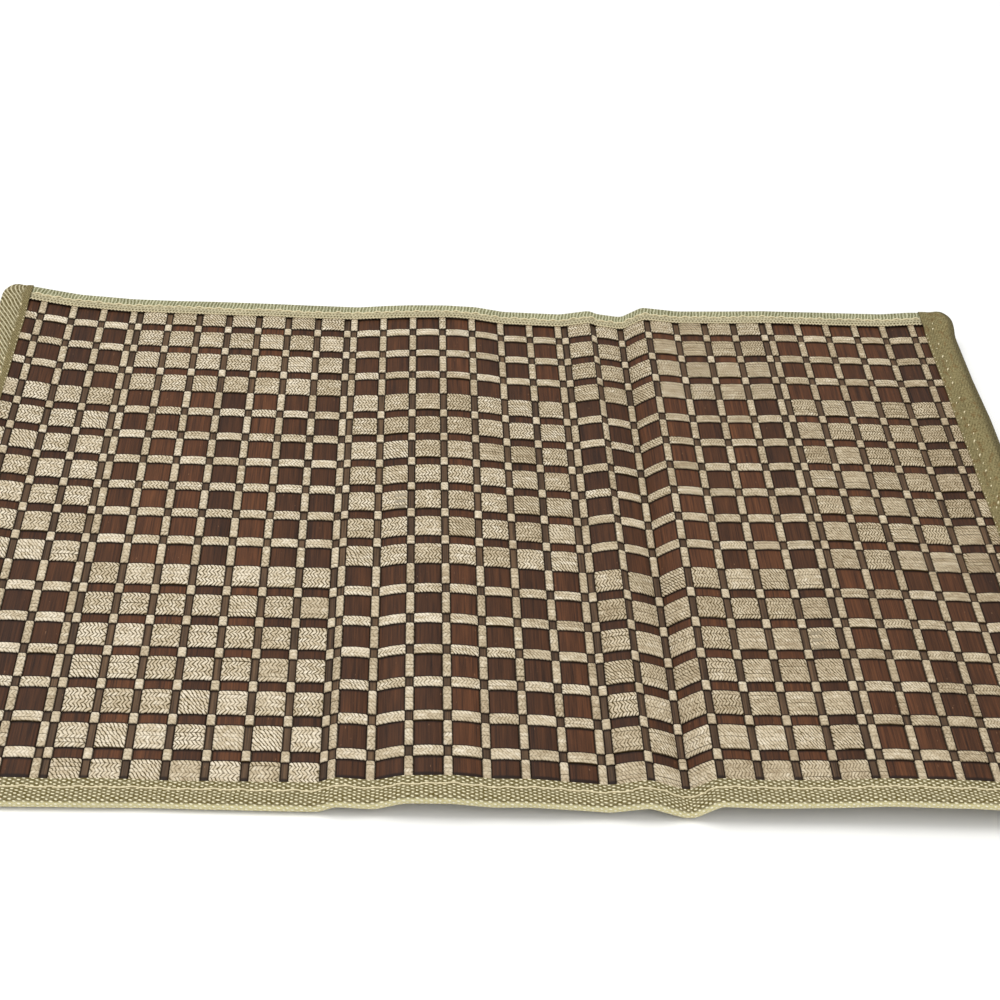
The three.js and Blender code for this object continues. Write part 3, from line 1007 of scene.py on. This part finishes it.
def make_side_tape(name, node, at_right, material):
    stations = side_tape_stations()
    reach, stitch_in = side_tape_sizes(at_right)
    rng = np.random.default_rng(SEEDS["tape_right" if at_right else "tape_left"])
    inner_edge = wander(stations, 16, 0.15, rng)
    rings = []
    for along, uneven in zip(stations, inner_edge):
        drawn_in, inside, closing = side_tape_station(along, at_right)
        profile = tape_profile(drawn_in, reach, inside, stitch_in)
        inward = profile[:, 0] + uneven * (profile[:, 0] / reach) ** 2
        across = MAT_WIDTH - inward if at_right else inward
        height = profile[:, 1] * closing
        rings.append(np.stack([across, np.full(len(profile), along), height], axis=1))
    lengths = profile_lengths(tape_profile(0, reach, LONG_TAPE_INSIDE, stitch_in))
    lofts = Lofts()
    lofts.add(place(np.array(rings)), stations, lengths, whole=lengths.max())
    tape = lofts.build(name, material)
    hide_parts(node)
    return tape


# Thread: the stitches, and the loops along the tapes' inner edges

def add_thread(lofts, path, radius, sides=5, softly=True):
    """A tube along a path of points in the flat mat."""
    tangent = np.gradient(path, axis=0)
    tangent /= np.linalg.norm(tangent, axis=1)[:, None]
    sideways = np.cross([0.0, 0.0, 1.0], tangent)
    sideways /= np.linalg.norm(sideways, axis=1)[:, None]
    upwards = np.cross(tangent, sideways)
    turn = 2 * math.pi * np.arange(sides) / sides
    ring = sideways[:, None] * np.cos(turn)[:, None] + upwards[:, None] * np.sin(turn)[:, None]
    radii = np.broadcast_to(radius, len(path))
    points = path[:, None] + ring * radii[:, None, None]
    length = np.append(0.0, np.cumsum(np.linalg.norm(np.diff(path, axis=0), axis=1)))
    placed = place_softly(points) if softly else place(points)
    lofts.add(placed, length, np.arange(sides + 1) / sides)


def thread_stations(step):
    return np.arange(LEFT_TAPE_COVER - 1, MAT_WIDTH - RIGHT_TAPE_COVER + 1, step)


def add_loops(lofts, reach, face, top):
    """A thread that swings over the back tape's inner edge, on one face."""
    across = thread_stations(LOOP / 4)
    inner_edge, _ = long_tape_edges(True, across)
    swing = np.sin(2 * math.pi * across / LOOP)
    inward = reach + 0.15 + inner_edge + LOOP_REACH * swing
    path = stitch_path(across, inward, face * (top - 0.1 - 0.1 * swing), True)
    add_thread(lofts, path, LOOP_RADIUS, sides=4)


def make_long_stitches(name, at_back, material):
    """A line of stitches, seen on both faces, and loops along the back tape's inner edges."""
    lofts = Lofts()
    rng = np.random.default_rng(SEEDS["thread_back" if at_back else "thread_front"])
    reach, stitch_in = long_tape_sizes(at_back)
    top = LONG_TAPE_INSIDE + TAPE_THICK - PRESSED
    across = thread_stations(STITCH / 8)
    inner_edge, _ = long_tape_edges(at_back, across)
    wave = np.sin(math.pi * across / STITCH)
    rise = 0.6 * wave ** 2 - 0.25 if at_back else 0.34 * np.abs(wave) ** 0.5 - 0.16
    for face in (1, -1):
        sway = 0.25 * wave + wander(across, 9, 0.16, rng)
        inward = reach - stitch_in + inner_edge + sway
        path = stitch_path(across, inward, face * (top - 0.1 + rise), at_back)
        add_thread(lofts, path, STITCH_RADIUS)
        if at_back:
            add_loops(lofts, reach, face, top)
    return lofts.build(name, material)


def stitch_path(across, inward, height, at_back):
    along = MAT_DEPTH - inward if at_back else inward
    return np.stack([across, along, height], axis=1)


def add_side_stitch(lofts, at_right, along, in_from_edge, length, thick):
    """One short slanting stitch on each face of a side tape."""
    reach, stitch_in = side_tape_sizes(at_right)
    _, inside, _ = side_tape_station(along, at_right)
    steps = np.linspace(-0.5, 0.5, 6)
    pressed = pressed_down(in_from_edge, stitch_in)
    for face in (1, -1):
        inward = reach - in_from_edge - steps * length * 0.4
        across = MAT_WIDTH - inward if at_right else inward
        height = inside + TAPE_THICK - pressed + 0.12 * np.cos(math.pi * steps)
        path = np.stack([across, along + steps * length, face * height], axis=1)
        add_thread(lofts, path, thick * np.cos(math.pi * steps * 0.9) + 0.04, softly=False)


def make_side_stitches(name, at_right, material):
    """Stitches that show one by one along a side tape, and loops at its inner edge."""
    lofts = Lofts()
    rng = np.random.default_rng(SEEDS["thread_right" if at_right else "thread_left"])
    _, stitch_in = side_tape_sizes(at_right)
    for along in np.arange(9.0, MAT_DEPTH - 8, SIDE_STITCH_STEP):
        shift, sway, length = rng.normal(0, 0.5), rng.normal(0, 0.25), rng.uniform(1.1, 2.3)
        add_side_stitch(lofts, at_right, along + shift, stitch_in + sway, length, STITCH_RADIUS)
        if at_right and rng.uniform() < 0.8:
            between = along + SIDE_STITCH_STEP / 2 + rng.normal(0, 0.8)
            if between < MAT_DEPTH - 8:
                beside = stitch_in + rng.uniform(-2.4, 0.8)
                add_side_stitch(lofts, at_right, between, beside, rng.uniform(0.8, 1.5), 0.22)
    for along in np.arange(STEP_DOWN_END, MAT_DEPTH - STEP_DOWN_END, PITCH):
        if rng.uniform() < 0.8:
            add_side_stitch(lofts, at_right, along + rng.normal(0, 0.2), 0.35, 0.9, 0.2)
    return lofts.build(name, material)


bamboo = bamboo_material()
yarn = yarn_material()
thread = thread_material()

slats = make_slats(bamboo)
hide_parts("woven_sheet")
yarn_pieces = make_yarn(yarn)

tape_front = make_long_tape("tape_front", "binding_front", False, front_webbing_material())
tape_back = make_long_tape("tape_back", "binding_back", True, back_webbing_material())
tape_left = make_side_tape("tape_left", "binding_left", False, left_webbing_material())
tape_right = make_side_tape("tape_right", "binding_right", True, right_webbing_material())
stitches = {
    "front": make_long_stitches("stitches_front", False, thread),
    "back": make_long_stitches("stitches_back", True, thread),
    "left": make_side_stitches("stitches_left", False, thread),
    "right": make_side_stitches("stitches_right", True, thread),
}


# Floor, light and camera

def make_floor():
    n = Nodes("floor", roughness=0.9, specular=0.1)
    grain = n.noise(n.uv(), (40.0, 40.0, 1.0))
    material = n.finish(n.ramp(grain, FLOOR_COLOURS))
    bpy.ops.mesh.primitive_plane_add(size=12, location=(0, 0, -0.0002))
    floor = bpy.context.object
    floor.name = "floor"
    floor.data.materials.append(material)


def area_light(name, at, size, power):
    """A round lamp that points at the middle of the mat."""
    light = bpy.data.lights.new(name, "AREA")
    light.shape = "DISK"
    light.size = size
    light.energy = power
    lamp = bpy.data.objects.new(name, light)
    lamp.location = at
    lamp.rotation_euler = (-lamp.location).to_track_quat("-Z", "Y").to_euler()
    bpy.context.scene.collection.objects.link(lamp)


def make_camera():
    """The camera that was fitted to the weave's crossings: its axes and its place."""
    right = (0.99731208, -0.03245406, 0.06569138)
    up = (-0.0291725, 0.64655193, 0.76231198)
    backwards = (-0.067213, -0.76217933, 0.64386729)
    at = (-0.046004, -0.540509, 0.471387)
    data = bpy.data.cameras.new("camera")
    data.lens = 63.374
    data.sensor_width = 36
    camera = bpy.data.objects.new("camera", data)
    camera.matrix_world = Matrix([*zip(right, up, backwards, at), (0, 0, 0, 1)])
    bpy.context.scene.collection.objects.link(camera)
    bpy.context.scene.camera = camera


make_floor()
area_light("key", (-0.5, 0.2, 1.6), 1.0, 16)
area_light("fill", (0.9, -0.9, 1.4), 1.5, 6)
world = bpy.data.worlds.new("studio")
world.use_nodes = True
world.node_tree.nodes["Background"].inputs[0].default_value = (1, 1, 1, 1)
world.node_tree.nodes["Background"].inputs[1].default_value = 0.65
bpy.context.scene.world = world
bpy.context.scene.view_settings.view_transform = "Standard"
make_camera()
